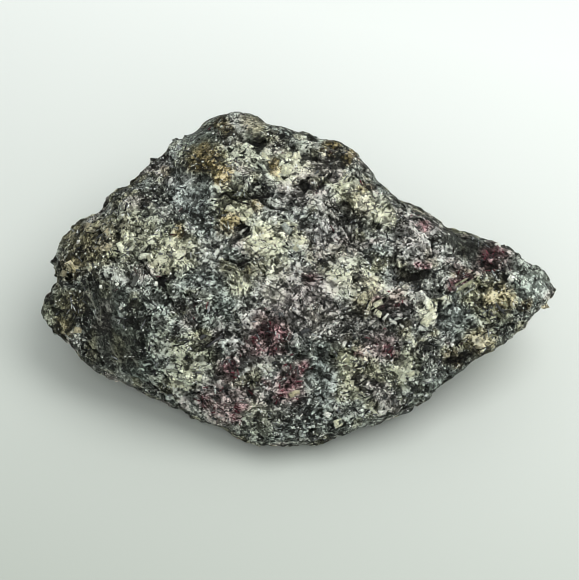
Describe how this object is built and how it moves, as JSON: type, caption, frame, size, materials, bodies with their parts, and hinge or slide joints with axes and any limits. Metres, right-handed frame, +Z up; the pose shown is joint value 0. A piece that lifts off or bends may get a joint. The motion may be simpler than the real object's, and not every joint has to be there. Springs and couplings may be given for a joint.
{
  "type": "kermesite specimen",
  "caption": "Broken lump of grey rock with quartz grains and patches of red kermesite, pointed at one end, resting on a small flat spot.",
  "frame": {"origin": "middle of the bounding box at its base, on the surface the stone rests on", "axes": "+Z up, X along the stone's length with its pointed end at +X, the display side towards -Y"},
  "size_m": [0.0704, 0.0478, 0.0277],
  "materials": {
    "stone": "rough broken rock with small glittering faces"
  },
  "bodies": {
    "root": {"stone": "stone"}
  },
  "joints": []
}
